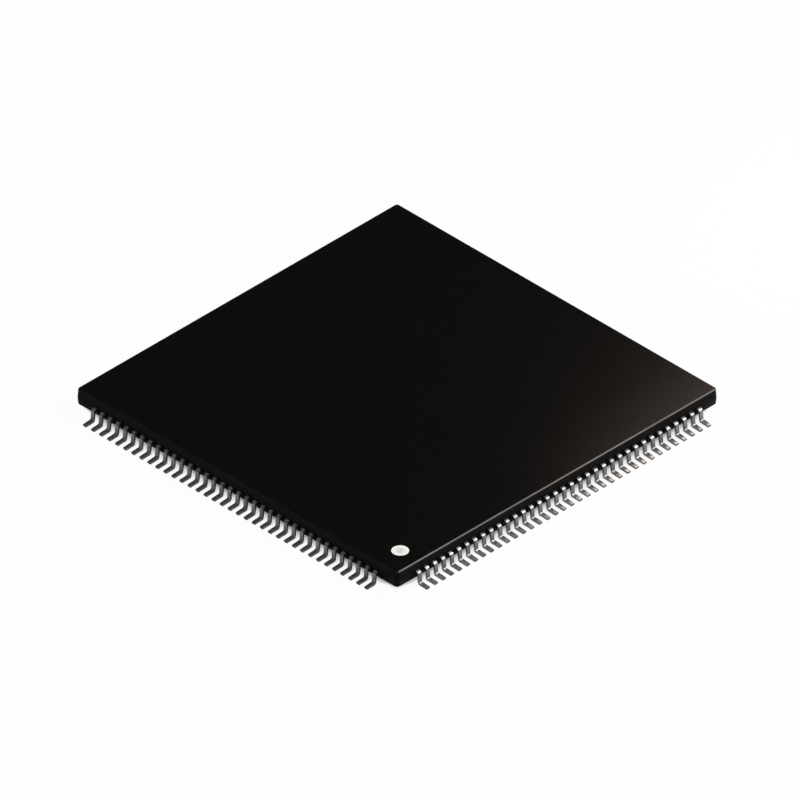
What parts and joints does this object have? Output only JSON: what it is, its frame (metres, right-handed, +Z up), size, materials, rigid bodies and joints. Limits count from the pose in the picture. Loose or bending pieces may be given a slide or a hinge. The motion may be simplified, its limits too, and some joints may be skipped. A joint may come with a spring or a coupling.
{
  "type": "quad flat pack chip",
  "caption": "Thin square black moulded chip package with a comb of short gull-wing leads along each side and a small white dot at the first lead's corner.",
  "frame": {"origin": "on the board plane that the toes touch, under the middle of the body", "axes": "+Z up, out of the marked face; X and Y run along the sides; the white dot is at the corner towards -X and -Y, and the leads count anticlockwise from it as seen from +Z"},
  "size_m": [0.0214, 0.0214, 0.0011],
  "materials": {
    "mould_compound": "matt black epoxy moulding compound with a very fine spark-eroded grain",
    "dot_ink": "flat white marking ink",
    "tinned_leads": "matt tin plate on a copper alloy sheet",
    "bare_copper": "bare rolled copper alloy sheet",
    "die_adhesive": "silver-filled epoxy",
    "silicon": "smooth silicon",
    "gold_wire": "bright gold wire"
  },
  "bodies": {
    "root": {"body": "mould_compound", "pin_one_dot": "dot_ink", "die_pad": "bare_copper", "die_attach": "die_adhesive", "die": "silicon", "lead_group_01": "tinned_leads", "lead_group_02": "tinned_leads", "lead_group_03": "tinned_leads", "lead_group_04": "tinned_leads", "lead_group_05": "tinned_leads", "lead_group_06": "tinned_leads", "lead_group_07": "tinned_leads", "lead_group_08": "tinned_leads", "lead_group_09": "tinned_leads", "lead_group_10": "tinned_leads", "lead_group_11": "tinned_leads", "lead_group_12": "tinned_leads", "lead_group_13": "tinned_leads", "lead_group_14": "tinned_leads", "lead_group_15": "tinned_leads", "lead_group_16": "tinned_leads", "wire_group_01": "gold_wire", "wire_group_02": "gold_wire", "wire_group_03": "gold_wire", "wire_group_04": "gold_wire", "wire_group_05": "gold_wire", "wire_group_06": "gold_wire", "wire_group_07": "gold_wire", "wire_group_08": "gold_wire", "wire_group_09": "gold_wire", "wire_group_10": "gold_wire", "wire_group_11": "gold_wire", "wire_group_12": "gold_wire", "wire_group_13": "gold_wire", "wire_group_14": "gold_wire", "wire_group_15": "gold_wire", "wire_group_16": "gold_wire"}
  },
  "joints": []
}
